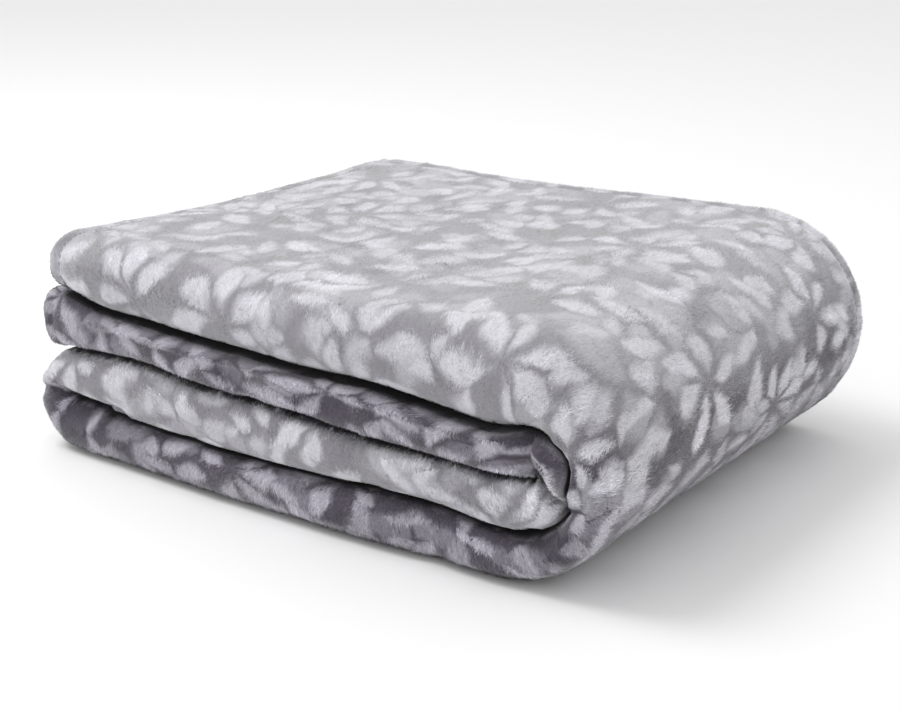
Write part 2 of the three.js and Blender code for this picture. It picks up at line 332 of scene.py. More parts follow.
def cloth_thickness(layer):
    return np.minimum(layer - GAP_BETWEEN_LAYERS, THICKEST_CLOTH)


# Stations along the strip: x and z of its middle, x and z of the way its outer side
# faces, the height of a layer, how loose it is, the share of the thickness and the nap's
# painted shade
def straight(xs, course, facing, looseness=0.0):
    rows = np.empty((len(xs), 8))
    rows[:, 0] = xs
    rows[:, 1:] = (COURSE_HEIGHT[course], 0, facing, LAYER[course], looseness, 1, NAP[course])
    return rows


def hem_end(edge, course, facing, looseness=0.0):
    rows = straight(edge + HEM_AT, course, facing, looseness)
    rows[:, 6] = HEM_SHARE
    return rows


def big_fold():
    turned = np.arange(1, BIG_FOLD_STEPS) / BIG_FOLD_STEPS
    angle = math.pi * (0.5 - turned)
    above = 1 - smoothstep(turned, 0, BIG_FOLD_SLACK["above_until"])
    below = smoothstep(turned, BIG_FOLD_SLACK["below_from"], 1)
    layer = LAYER_IN_BIG_FOLD + (LAYER["top"] - LAYER_IN_BIG_FOLD) * above
    layer = layer + (LAYER["bottom"] - LAYER_IN_BIG_FOLD) * below
    radius = HEIGHT / 2 - (LAYERS_IN_STRIP / 2) * layer
    return np.stack([
        RIGHT - HEIGHT / 2 + radius * np.cos(angle),
        HEIGHT / 2 + radius * np.sin(angle),
        np.cos(angle),
        np.sin(angle),
        layer,
        1 - turned,
        np.ones_like(turned),
        lerp(NAP["top"], NAP["bottom"], smoothstep(turned, *NAP_TURNS["big_fold"])),
    ], axis=1)


def small_fold(fold, centre):
    start, end = fold["from"], fold["to"]
    turned = np.arange(1, fold["steps"]) / fold["steps"]
    middle = (COURSE_HEIGHT[start] + COURSE_HEIGHT[end]) / 2
    radius = (COURSE_HEIGHT[end] - COURSE_HEIGHT[start]) / 2
    out = fold["bend"] * fold["reach"] * np.sin(math.pi * turned) ** fold["fullness"]
    up = -np.cos(math.pi * turned)
    return np.stack([
        centre + radius * out,
        middle + radius * up,
        -fold["bend"] * out,
        -fold["bend"] * up,
        lerp(lerp(LAYER[start], LAYER[end], turned), fold["layer"], np.sin(math.pi * turned)),
        np.zeros_like(turned),
        np.ones_like(turned),
        lerp(NAP[start], NAP[end], smoothstep(turned, *NAP_TURNS["small_fold"])),
    ], axis=1)


def strip_stations():
    def past_hem(edge):
        return STEPS_ALONG[STEPS_ALONG > edge + HEM_WIDTH + CLEAR_OF_HEM]

    fold_outside = (COURSE_HEIGHT["third"] - COURSE_HEIGHT["bottom"]) / 2
    fold_outside += (LAYERS_IN_STRIP / 2) * LEFT_FOLD["layer"]
    to_inner_fold = np.append(STEPS_ALONG, INNER_FOLD_CENTRE)
    return np.concatenate([
        hem_end(TOP_HEM, "top", 1, 1),
        straight(past_hem(TOP_HEM), "top", 1, 1),
        big_fold(),
        straight(STEPS_ALONG[::-1], "bottom", -1),
        small_fold(LEFT_FOLD, LEFT_END + LEFT_FOLD["reach"] * fold_outside),
        straight(to_inner_fold, "third", 1),
        small_fold(INNER_FOLD, INNER_FOLD_CENTRE),
        straight(to_inner_fold[::-1][:-1], "second", -1),
        hem_end(SECOND_HEM, "second", -1)[::-1],
    ])


# Points across the strip at every station: how far back they lie, their level out from
# the strip's middle, the way they face and the share of the cloth's thickness
def level(ys, height, facing):
    points = np.empty((len(height), len(ys), 5))
    points[:, :, 0] = ys
    points[:, :, 1] = height[:, None]
    points[:, :, 2:] = (0, facing, 1)
    return points


def hem_side(edge, height, facing):
    points = level(edge - HEM_AT, height, facing)
    points[:, :, 4] = HEM_SHARE
    return points


def front_fold(centre, depth, half_height, facing, steps, outer_square, inner_square):
    angle = (math.pi / 2) * facing * (1 - 2 * np.arange(steps + 1) / steps)
    c = np.maximum(np.cos(angle), 1e-9)[None, :]
    s = np.sin(angle)[None, :]
    power = 2 / np.where(s > 0, outer_square[:, None], inner_square[:, None])
    slope_y = -(c ** (2 - power)) / depth[:, None]
    slope_out = np.sign(s) * np.abs(s) ** (2 - power) / half_height[:, None]
    slope = np.hypot(slope_y, slope_out)
    return np.stack([
        centre[:, None] - depth[:, None] * c ** power,
        half_height[:, None] * np.sign(s) * np.abs(s) ** power,
        facing * slope_y / slope,
        facing * slope_out / slope,
        np.ones_like(slope),
    ], axis=2)


def back_fold(centre, centre_out, radius):
    angle = math.pi * (np.arange(BACK_FOLD_STEPS + 1) / BACK_FOLD_STEPS - 0.5)[None, :]
    radius = radius[:, None]
    return np.stack([
        centre[:, None] + radius * np.cos(angle),
        centre_out[:, None] + radius * np.sin(angle),
        np.cos(angle) + 0 * radius,
        np.sin(angle) + 0 * radius,
        np.ones_like(radius + angle),
    ], axis=2)


def cross_sections(stations):
    layer = stations[:, 4]
    looseness = stations[:, 5]
    thickness = cloth_thickness(layer)
    slack = lerp(*ROLL_SLACK, looseness)
    outer = OUTER_LEVEL * layer
    inner = INNER_LEVEL * layer
    depth = outer + slack
    centre = FRONT + depth + thickness / 2
    back_centre = BACK - BACK_INSET["fold"] - (layer + thickness) / 2
    square = lerp(*ROLL_SQUARENESS, looseness)
    inner_square = np.full_like(layer, INSIDE_SQUARENESS)
    round_fold = np.full_like(layer, 2.0)
    return np.concatenate([
        hem_side(BACK - BACK_INSET["outer_hem"], outer, 1),
        level(OUTER_STEPS_ACROSS[::-1], outer, 1),
        front_fold(centre, depth, outer, 1, FRONT_FOLD_STEPS, square, inner_square),
        level(INNER_STEPS_ACROSS, -outer, -1),
        back_fold(back_centre, -layer, inner),
        level(INNER_STEPS_ACROSS[::-1], -inner, 1),
        front_fold(centre - slack, inner, inner, -1, INNER_FRONT_FOLD_STEPS, round_fold, round_fold),
        level(INNER_STEPS_ACROSS, inner, -1),
        hem_side(BACK - BACK_INSET["inner_hem"], inner, -1)[:, ::-1],
    ], axis=1)


# A smooth value between the rows of the table of settled heights
def settled_height(x, column):
    rows = np.array(SETTLED, float)
    at = rows[:, 0]
    height = rows[:, SETTLED_COLUMNS.index(column)]
    before = np.maximum(np.arange(len(at)) - 1, 0)
    after = np.minimum(np.arange(len(at)) + 1, len(at) - 1)
    slope = (height[after] - height[before]) / (at[after] - at[before])
    row = np.clip(np.searchsorted(at, x) - 1, 0, len(at) - 2)
    width = at[row + 1] - at[row]
    t = np.clip((x - at[row]) / width, 0, 1)
    return (
        (1 + 2 * t) * (1 - t) ** 2 * height[row]
        + t * (1 - t) ** 2 * width * slope[row]
        + t * t * (3 - 2 * t) * height[row + 1]
        - t * t * (1 - t) * width * slope[row + 1]
    )


# The neat stack settles: courses sink or rise between the floor and the top
def settle(x, y, z):
    front = 1 - smoothstep(y, *FRONT_SETTLES)
    middle = settled_height(x, "top_middle")
    top = middle + (1 - smoothstep(y, FRONT, 0)) * (settled_height(x, "top_front") - middle)
    top = top + smoothstep(y, 0, BACK) * (settled_height(x, "top_back") - middle)
    seams = (0, SEAM_BOTTOM, SEAM_THIRD, SEAM_SECOND, HEIGHT)
    settled = (
        np.zeros_like(x),
        lerp(SEAM_BOTTOM, settled_height(x, "bottom"), front),
        lerp(SEAM_THIRD, settled_height(x, "third"), front),
        lerp(SEAM_SECOND, settled_height(x, "second"), front),
        top,
    )
    height = np.zeros_like(x)
    for course in range(len(LAYER)):
        share = np.clip((z - seams[course]) / (seams[course + 1] - seams[course]), 0, None)
        if course < len(LAYER) - 1:
            share = np.minimum(share, 1)
        height = height + share * (settled[course + 1] - settled[course])
    in_top = smoothstep(z, SEAM_SECOND - SKEW_HEIGHT / 2, SEAM_SECOND + SKEW_HEIGHT / 2)
    near_hem = 1 - smoothstep(x, TOP_HEM, 0)
    skew = TOP_HEM_SKEW * in_top * near_hem * smoothstep(y, FRONT, BACK)
    lean = BIG_FOLD_LEAN["foot"] * smoothstep(x, BIG_FOLD_LEAN["from"], RIGHT) * (1 - z / HEIGHT) ** 2
    from_middle = np.abs(x) / FRONT_BULGE["half_length"]
    bulge = FRONT_BULGE["depth"] * (1 - smoothstep(from_middle, 0, 1)) * (1 - smoothstep(y, FRONT, 0))
    along = smoothstep(x, *SEAM_PRESS["left"]) * (1 - smoothstep(x, *SEAM_PRESS["right"]))
    at_front = 1 - smoothstep(y, *FRONT_SHAPED)
    from_seam = (z - SEAM_THIRD) / SEAM_PRESS["width"]
    press = SEAM_PRESS["depth"] * along * at_front * np.exp(-(from_seam ** 2))
    return np.stack([x + skew - lean, y - bulge + press, height], axis=-1)


# The whole sheet: places of both its sides at every station and point, in millimetres
# from the frame's origin, with the outer side first
def folded_places(stations):
    points = cross_sections(stations)
    thickness = cloth_thickness(stations[:, 4])[:, None]
    share = np.minimum(stations[:, 6][:, None], points[:, :, 4])
    sides = []
    for side in (1, -1):
        offset = side * share * thickness / 2
        out = points[:, :, 1] + offset * points[:, :, 3]
        x = stations[:, 0][:, None] + out * stations[:, 2][:, None]
        y = points[:, :, 0] + offset * points[:, :, 2]
        z = stations[:, 1][:, None] + out * stations[:, 3][:, None] - GAP_BETWEEN_LAYERS / 2
        sides.append(settle(x, y, np.maximum(z, 0)))
    places = np.stack(sides)
    flat = places.reshape(-1, 3)
    low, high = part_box("blanket")
    middle = (np.array(low) + np.array(high)) / (2 * MM)
    shift = middle - (flat.min(0) + flat.max(0)) / 2
    places[..., :2] += shift[:2]
    return shaped_by_hand(places.reshape(-1, 3)).reshape(places.shape)


# How near each point lies to a path, as 1 on it and 0 far from it
def nearness(points, path, width):
    nearest = np.full(len(points), np.inf)
    for start, end in zip(np.array(path[:-1], float), np.array(path[1:], float)):
        step = end - start
        share = np.clip(((points - start) @ step) / (step @ step), 0, 1)
        nearest = np.minimum(nearest, np.linalg.norm(points - start - share[:, None] * step, axis=1))
    return np.exp(-((nearest / width) ** 2))


# The creases, pulls and soft unevenness that the photograph shows
def shaped_by_hand(places):
    places = places.copy()
    front = 1 - smoothstep(places[:, 1], *FRONT_SHAPED)
    before = places[:, (0, 2)].copy()
    for place, reach, move in FRONT_PULLS:
        near = nearness(before, (place, np.array(place) + PULL_PATH), reach)
        places[:, (0, 2)] += (near * front)[:, None] * move
    facing = places[:, (0, 2)].copy()
    for depth, width, path in FRONT_CREASES:
        places[:, 1] += depth * nearness(facing, path, width) * front
    flat = places[:, :2].copy()
    high = smoothstep(places[:, 2], *TOP_SHAPED)
    for depth, width, path in TOP_CREASES:
        places[:, 2] -= depth * nearness(flat, path, width) * high
    inside = smoothstep(STACK_DEPTH / 2 - np.abs(flat[:, 1]), 0, TOP_EDGE)
    right = smoothstep(flat[:, 0], *SIDE_SHAPED)
    places[:, 2] += UNEVENNESS["top"] * wave(flat, "top") * high * inside
    places[:, 1] += UNEVENNESS["front"] * wave(facing, "front") * front
    places[:, 0] += UNEVENNESS["side"] * wave(places[:, 1:], "side") * right
    places[:, 2] = np.maximum(places[:, 2], 0)
    return places


def path_length(points):
    steps = np.linalg.norm(np.diff(points, axis=0), axis=1)
    return np.append(0, np.cumsum(steps))


# Where each station and point lies on the flat cloth, in metres: along the strip by its
# outer layer, or by its middle where that is longer, and across it by the top course
def flat_grid(places):
    rows, columns = places.shape[1:3]
    outer = np.linalg.norm(np.diff(places[0][:, columns // 5], axis=0), axis=1)
    middle = np.linalg.norm(np.diff(places.mean(0).mean(1), axis=0), axis=1)
    along = np.append(0, np.cumsum(np.maximum(outer, middle)))
    across = path_length(places[0][rows // 8])
    return across * MM, along * MM


# Faces of the sheet as a closed slab: its outer side, its inner side and its cut edges,
# always in the same order, because the pile's chances fall on them in that order
def slab_faces(rows, columns):
    outer = np.arange(rows * columns).reshape(rows, columns)
    sheet = np.stack([outer[:-1, :-1], outer[:-1, 1:], outer[1:, 1:], outer[1:, :-1]], axis=-1)
    sheet = sheet.reshape(-1, 4)
    rim = np.concatenate([outer[0, :-1], outer[:-1, -1], outer[-1, :0:-1], outer[:0:-1, 0]])
    ahead = np.roll(rim, -1)
    edges = np.stack([ahead, rim, rim + outer.size, ahead + outer.size], axis=-1)
    return np.concatenate([sheet, sheet[:, ::-1] + outer.size, edges])


def blanket_mesh():
    stations = strip_stations()
    places = folded_places(stations)
    side, row, column = np.indices(places.shape[:3]).reshape(3, -1)
    corners = slab_faces(*places.shape[1:3])
    mesh = face_mesh("plush_sheet", places * MM, corners)
    across, along = flat_grid(places)
    flat = np.stack([across[column], along[row]], axis=-1)[corners]
    mesh.uv_layers.new(name="flat_cloth").uv.foreach_set("vector", flat.ravel())
    write(mesh, "nap_shade", stations[row, 7])
    inner_corners = side[corners].sum(axis=1, keepdims=True)
    at_edge = (inner_corners > 0) & (inner_corners < 4)
    out = np.where(at_edge & (side[corners] == 1), BAKE_EDGE, 0)
    u = bake_place(column[corners], across, out) + 0.5 * (inner_corners == 4)
    v = bake_place(row[corners], along, out)
    mesh.uv_layers.new(name="OFBake").uv.foreach_set("vector", np.stack([u, v], axis=-1).ravel())
    mesh.shade_smooth()
    mesh.update()
    write(mesh, "cloth_normal", numbers(mesh.vertices, "normal", 3), "FLOAT_VECTOR")
    write(mesh, "pile_shade", np.full(len(row), HIDDEN_SHADE))
    return mesh


# The map for the bake: the flat cloth, its outer side beside its inner one, with the
# narrow faces of its cut edges just outside the outer side
def bake_place(step, lengths, out):
    past_end = np.where(step == len(lengths) - 1, out, 0) - np.where(step == 0, out, 0)
    return BAKE_EDGE * 2 + lengths[step] * BAKE_SCALE + past_end


# A mesh from its points and, for each face, the numbers of its corners
def face_mesh(name, points, corners):
    mesh = bpy.data.meshes.new(name)
    mesh.vertices.add(points.size // 3)
    mesh.loops.add(corners.size)
    mesh.polygons.add(corners.size // corners.shape[-1])
    mesh.vertices.foreach_set("co", points.ravel())
    mesh.loops.foreach_set("vertex_index", corners.ravel())
    mesh.polygons.foreach_set("loop_start", np.arange(0, corners.size, corners.shape[-1]))
    mesh.update(calc_edges=True)
    return mesh


def write(mesh, name, values, kind="FLOAT"):
    field = "vector" if kind == "FLOAT_VECTOR" else "value"
    attribute = mesh.attributes.get(name) or mesh.attributes.new(name, kind, "POINT")
    attribute.data.foreach_set(field, np.ascontiguousarray(values, np.float32).ravel())


def numbers(items, name, width, kind=np.float64):
    found = np.empty(len(items) * width, kind)
    items.foreach_get(name, found)
    return found.reshape(-1, width) if width > 1 else found


def unit(vectors):
    return vectors / np.maximum(np.linalg.norm(vectors, axis=-1, keepdims=True), 1e-9)


# Smooth noise from -1 to 1, with features of about its wave's size
def wave(places, name):
    size, seed = WAVES[name]
    table = np.random.default_rng(seed).uniform(-1, 1, NOISE["table"])
    place = places / size
    corner = np.floor(place).astype(np.int64)
    ease = smoothstep(place - corner, 0, 1)
    total = np.zeros(len(places))
    for index in range(2 ** places.shape[1]):
        key = np.full(len(places), seed * NOISE["seed_step"])
        weight = np.ones(len(places))
        for axis in range(places.shape[1]):
            far = (index >> axis) & 1
            key = key ^ ((corner[:, axis] + far) * NOISE["steps"][axis])
            weight = weight * (ease[:, axis] if far else 1 - ease[:, axis])
        total += table[key % len(table)] * weight
    return total


# How far each ray goes until it meets the cloth, within its reach
def ray_lengths(tree, starts, ways, reach):
    hits = [tree.ray_cast(*ray, reach)[3] for ray in zip(starts.tolist(), ways.tolist())]
    return np.array([np.inf if hit is None else hit for hit in hits])


# Faces of the sheet that show: nothing else lies close over them and they're off the floor
def exposed_faces(mesh, tree):
    centres = numbers(mesh.polygons, "center", 3)
    normals = numbers(mesh.polygons, "normal", 3)
    starts = centres + normals * EXPOSED["lift"] * MM
    open_air = np.isinf(ray_lengths(tree, starts, normals, EXPOSED["gap"] * MM))
    near_floor = centres[:, 2] < UNDERNEATH["below"] * MM
    underneath = near_floor & (normals[:, 2] < UNDERNEATH["facing"])
    return np.nonzero(open_air & ~underneath)[0]


# How open each shown face lies, from 0 deep in a crease to 1, by rays that stop at the
# cloth or the floor, as a shade painted into the pile's colour; its corners keep the mean
# as their painted shade. Each face takes a copy of the plush: with less sheen where it
# lies against the nap, and with little deep in a crease, both as painted shade
def shade_creases(mesh, tree, faces):
    centres = numbers(mesh.polygons, "center", 3)[faces]
    normals = numbers(mesh.polygons, "normal", 3)[faces]
    side = unit(np.cross(normals, NO_FACE_FACES))
    other = np.cross(normals, side)
    rays = OPEN_RAYS["count"]
    reach = OPEN_RAYS["reach"] * MM
    blocked = np.zeros(len(faces))
    starts = centres + normals * OPEN_RAYS["lift"] * MM
    for ray in range(rays):
        share = (ray + 0.5) / rays
        turn = ray * OPEN_RAYS["turn"]
        lying = side * math.cos(turn) + other * math.sin(turn)
        directions = normals * math.sqrt(1 - share) + lying * math.sqrt(share)
        down = np.maximum(-directions[:, 2], 1e-6)
        to_floor = np.where(directions[:, 2] < 0, centres[:, 2] / down, np.inf)
        to_cloth = ray_lengths(tree, starts, directions, reach)
        blocked += np.clip(1 - np.minimum(to_floor, to_cloth) / reach, 0, 1) ** 0.5 / rays
    shade = lerp(1, CREASE_SHADE, smoothstep(blocked, *BLOCKED))
    first = numbers(mesh.polygons, "loop_start", 1, np.int32)[faces]
    corner = numbers(mesh.loops, "vertex_index", 1, np.int32)
    total = np.zeros(len(mesh.vertices))
    count = np.zeros(len(mesh.vertices))
    for step in range(4):
        np.add.at(total, corner[first + step], shade)
        np.add.at(count, corner[first + step], 1)
    mean = np.where(count > 0, total / np.maximum(count, 1), HIDDEN_SHADE)
    write(mesh, "pile_shade", mean)
    tone = numbers(mesh.attributes["nap_shade"].data, "value", 1)[corner[first]]
    finish = np.full(len(mesh.polygons), SHADED_IN_CREASE)
    finish[faces] = finishes(shade, tone, 0, 0)
    mesh.polygons.foreach_set("material_index", finish.astype(np.int32))


# Which copy of the plush a place takes, for its painted shade: by how open it lies and
# by its nap's painted shade
def finishes(openness, tone, deep_chance, tone_chance):
    against = tone + AGAINST_BELOW["varies"] * tone_chance < AGAINST_BELOW["tone"]
    crease_shaded = openness + SHADED_IN_CREASE_BELOW["varies"] * deep_chance < SHADED_IN_CREASE_BELOW["open"]
    return np.where(crease_shaded, SHADED_IN_CREASE, np.where(against, SHADED_AGAINST_NAP, OPEN))


# The pile: many blades that root on the shown faces and lean along the nap, which runs
# across the cloth towards its first long side
def pile_pieces(sheet):
    mesh = sheet.data
    chance = np.random.default_rng(PILE_SEED)
    points = numbers(mesh.vertices, "co", 3).tolist()
    tree = BVHTree.FromPolygons(points, [face.vertices for face in mesh.polygons])
    shown = exposed_faces(mesh, tree)
    shade_creases(mesh, tree, shown)
    tufts = root_tufts(mesh, shown, chance)
    lay_tufts(tufts, chance)
    shade_tufts(tufts, chance)
    print_tufts(tufts, chance)
    # The sheet keeps its painted crease shade, painted darker still beneath the pile
    openness = numbers(mesh.attributes["pile_shade"].data, "value", 1)
    write(mesh, "pile_shade", openness * SHEET_SHADE)
    parts = [slice(index, None, PILE_PIECES) for index in range(PILE_PIECES)]
    return [pile_piece(f"pile_{index + 1}", tufts, part) for index, part in enumerate(parts)]


# Where the tufts root: the place, the way the cloth faces and the nap runs there, the
# place on the flat cloth, the nap's painted shade and how open it lies, as painted
# crease shade
def root_tufts(mesh, shown, chance):
    mesh.calc_loop_triangles()
    face = numbers(mesh.loop_triangles, "polygon_index", 1, np.int32)
    kept = np.nonzero(np.isin(face, shown))[0]
    share = np.cumsum(numbers(mesh.loop_triangles, "area", 1)[kept])
    picked = kept[np.searchsorted(share, chance.random(TUFTS) * share[-1])]
    loops = numbers(mesh.loop_triangles, "loops", 3, np.int32)[picked]
    first = numbers(mesh.polygons, "loop_start", 1, np.int32)[face[picked]]
    corner = numbers(mesh.loops, "vertex_index", 1, np.int32)
    points = numbers(mesh.vertices, "co", 3)[corner]
    flat = numbers(mesh.uv_layers["flat_cloth"].uv, "vector", 2)
    across = np.sqrt(chance.random(TUFTS))[:, None]
    up = chance.random(TUFTS)[:, None]
    weights = (1 - across, across * (1 - up), across * up)

    def spread(values):
        return sum(weight * values[loops[:, step]] for step, weight in enumerate(weights))

    def spread_number(name):
        return spread(numbers(mesh.attributes[name].data, "value", 1)[corner][:, None])[:, 0]

    normal = unit(spread(numbers(mesh.vertices, "normal", 3)[corner]))
    flat_along = flat[first + 3] - flat[first]
    flat_side = flat[first + 1] - flat[first]
    along = (points[first + 3] - points[first]) * np.sign(flat_along[:, :1])
    side = (points[first + 1] - points[first]) * np.sign(flat_side[:, :1])
    nap = np.where(np.abs(flat_side[:, :1]) > np.abs(flat_along[:, :1]), side, along)
    nap = -unit(nap - normal * (nap * normal).sum(1, keepdims=True))
    return SimpleNamespace(
        root=spread(points), normal=normal, nap=nap, flat=spread(flat),
        tone=spread_number("nap_shade"), openness=spread_number("pile_shade"),
    )


# The blades: they turn and lean in clumps, and rise in locks beside a crease
def lay_tufts(tufts, chance):
    spots = tufts.flat / MM
    turn = wave(spots, "turn") + wave(spots, "fine_turn") * 0.5
    turn = np.radians(turn * CLUMP_TURN + chance.normal(0, TUFT["turn_varies"], TUFTS))[:, None]
    streaks = spots * STREAK_STRETCH
    lock = wave(streaks, "lock")
    # The painted crease shade gets a ragged edge, in locks
    ragged = LIPS["ragged"] * tufts.openness * (1 - tufts.openness)
    openness = np.clip(tufts.openness + ragged * (lock + wave(spots, "ragged")), 0, 1)
    lip = smoothstep(1 - openness, *LIPS["crease"])
    lip = lip * np.clip(0.5 + wave(spots, "lip"), 0, 1)
    lean = TUFT["lean"] + wave(spots, "lean") * TUFT["lean_varies"]
    lean = lean - LIPS["rise"] * lip + chance.normal(0, TUFT["lean_varies"], TUFTS)
    lean = np.radians(np.minimum(lean, TUFT["most_lean"]))[:, None]
    lying = tufts.nap * np.cos(turn) + np.cross(tufts.normal, tufts.nap) * np.sin(turn)
    direction = tufts.normal * np.cos(lean) + lying * np.sin(lean)
    spin = np.radians(chance.normal(0, TUFT["spin_varies"], TUFTS))[:, None]
    wide = unit(np.cross(direction, tufts.normal))
    wide = wide * np.cos(spin) + np.cross(direction, wide) * np.sin(spin)
    length = TUFT["length"] * MM * chance.uniform(*TUFT["length_share"], TUFTS)
    length *= 1 + TUFT["length_by_clump"] * wave(spots, "length")
    length *= lerp(TUFT["in_crease"], 1, openness) * lerp(1, LIPS["length"], lip)
    length = length[:, None]
    width = TUFT["width"] * MM * chance.uniform(*TUFT["width_share"], TUFTS)[:, None]
    base = tufts.root - tufts.normal * TUFT["root_depth"] * MM
    half = wide * width / 2
    tufts.blades = np.stack([base - half, base + half, base + direction * length], axis=1)
    tufts.blades[:, :, 2] = np.maximum(tufts.blades[:, :, 2], FLOOR_CLEARANCE * MM)
    tufts.spots, tufts.streaks, tufts.lock, tufts.openness = spots, streaks, lock, openness
    tufts.turn, tufts.lying, tufts.length, tufts.width = turn, lying, length, width


# How bright each tuft is, from root to tip, with painted shade in creases and at its
# root; and the soft way that it faces the light
def shade_tufts(tufts, chance):
    unlike = lerp(TUFT_SHADE["against_nap"], 1, tufts.tone)
    bright = 1 + unlike * chance.normal(0, TUFT_SHADE["varies"], TUFTS)
    bright = np.maximum(bright, TUFT_SHADE["least"]) * tufts.openness
    bright *= 1 + unlike * TUFT_SHADE["streak"] * wave(tufts.streaks, "streak")
    bright *= 1 + TUFT_SHADE["clump"] * wave(tufts.spots * CLUMP_STRETCH, "clump")
    tufts.shade = bright[:, None] * TUFT_SHADE["corners"]
    turned = [wave(tufts.spots, name) for name in ("soft_x", "soft_y", "soft_z")]
    soft = tufts.normal + tufts.lying * SOFT_NORMAL["lying"]
    soft = soft + np.stack(turned, axis=1) * SOFT_NORMAL["clump"]
    tufts.soft_normal = unit(soft + chance.normal(0, SOFT_NORMAL["tuft"], (TUFTS, 3)))


# Where each tuft takes its colour from on the flat cloth, shifted along the nap in locks,
# with its place on the map for the bake and its copy of the plush, whose sheen is lowered
# as painted shade
def print_tufts(tufts, chance):
    ahead = -np.stack([np.cos(tufts.turn[:, 0]), np.sin(tufts.turn[:, 0])], axis=1)
    aside = ahead[:, ::-1] * (-1, 1)
    along = COLOUR_SPREAD["lock"] * tufts.lock + chance.normal(0, COLOUR_SPREAD["along"], TUFTS)
    along = along[:, None] * MM
    astray = chance.normal(0, COLOUR_SPREAD["across"] * MM, TUFTS)[:, None]
    tufts.colour_place = tufts.flat + ahead * along + aside * astray
    half = aside * tufts.width / 2
    tip = tufts.flat + ahead * tufts.length
    tufts.bake = np.stack([tufts.flat - half, tufts.flat + half, tip], axis=1)
    deep_chance = chance.normal(0, 1, TUFTS)
    tone_chance = chance.normal(0, 1, TUFTS)
    tufts.finish = finishes(tufts.openness, tufts.tone, deep_chance, tone_chance)


def pile_piece(name, tufts, part):
    blades = tufts.blades[part]
    mesh = face_mesh(name, blades, np.arange(len(blades) * 3).reshape(-1, 3))
    layer = mesh.uv_layers.new(name="flat_cloth")
    layer.uv.foreach_set("vector", np.repeat(tufts.colour_place[part], 3, axis=0).ravel())
    layer = mesh.uv_layers.new(name="OFBake")
    layer.uv.foreach_set("vector", (BAKE_EDGE * 3 + tufts.bake[part].clip(0) * BAKE_SCALE).ravel())
    mesh.polygons.foreach_set("material_index", tufts.finish[part].astype(np.int32))
    write(mesh, "nap_shade", np.repeat(tufts.tone[part], 3))
    write(mesh, "pile_shade", tufts.shade[part])
    write(mesh, "cloth_normal", np.repeat(tufts.soft_normal[part], 3, axis=0), "FLOAT_VECTOR")
    made = new_object(name, mesh)
    # The pile casts no shadow and sends no bounce light; its shade in creases and at its roots is
    # painted into its colour instead
    made.visible_shadow = False
    made.visible_diffuse = False
    return made


def new_object(name, mesh):
    made = bpy.data.objects.new(name, mesh)
    bpy.context.collection.objects.link(made)
    return made


# Places of the stitches: along the stitch line of all four sides, on both sides of the
# cloth, with the way the line runs and the way the cloth faces there
def stitch_places():
    places = folded_places(strip_stations()) * MM
    line = list(HEM_AT).index(STITCH_LINE)
    rows, columns = places.shape[1:3]

    def along_path(at, length, values):
        return np.stack([np.interp(at, length, values[:, axis]) for axis in range(3)], axis=1)

    found = []
    for side in (0, 1):
        for cut in (
            (line, slice(line, columns - line)),
            (rows - 1 - line, slice(line, columns - line)),
            (slice(line, rows - line), line),
            (slice(line, rows - line), columns - 1 - line),
        ):
            path = places[(side,) + cut]
            other = places[(1 - side,) + cut]
            length = path_length(path)
            at = np.arange(STITCH["spacing"] / 2, length[-1] / MM, STITCH["spacing"]) * MM
            middle = along_path(at, length, path)
            ahead = along_path(at + MM, length, path) - along_path(at - MM, length, path)
            out = along_path(at, length, path - other)
            found.append(np.stack([middle, unit(ahead), unit(out)], axis=1))
    return np.concatenate(found)


# The stitches that hold the hem, as one mesh of short thread ends
def hem_stitches():
    thread = bmesh.new()
    bmesh.ops.create_icosphere(thread, subdivisions=1, radius=1)
    shape = np.array([vertex.co[:] for vertex in thread.verts])
    faces = np.array([[vertex.index for vertex in face.verts] for face in thread.faces])
    thread.free()
    stitches = stitch_places()
    middle, along, out = stitches[:, 0], stitches[:, 1], stitches[:, 2]
    out = unit(out - along * (out * along).sum(1, keepdims=True))
    side = np.cross(out, along)
    half = np.array((STITCH["length"], STITCH["thickness"], STITCH["thickness"])) * MM / 2
    sizes = shape * half
    points = middle[:, None] + out[:, None] * STITCH["height"] * MM
    for axis, way in enumerate((along, side, out)):
        points = points + sizes[:, axis:axis + 1] * way[:, None]
    points[:, :, 2] = np.maximum(points[:, :, 2], FLOOR_CLEARANCE * MM)
    corners = faces[None] + (np.arange(len(middle)) * len(shape))[:, None, None]
    mesh = face_mesh("hem_stitches", points, corners)
    mesh.shade_smooth()
    return new_object("hem_stitches", mesh)


def feed(socket, value):
    if isinstance(value, Signal):
        socket.id_data.links.new(value.socket, socket)
    else:
        socket.default_value = value


# A new node in a material's tree: its settings, and what its inputs are fed
def add_node(tree, kind, inputs, **settings):
    node = tree.nodes.new(kind)
    for name, value in settings.items():
        setattr(node, name, value)
    for name, value in inputs.items():
        feed(node.inputs[name], value)
    return node


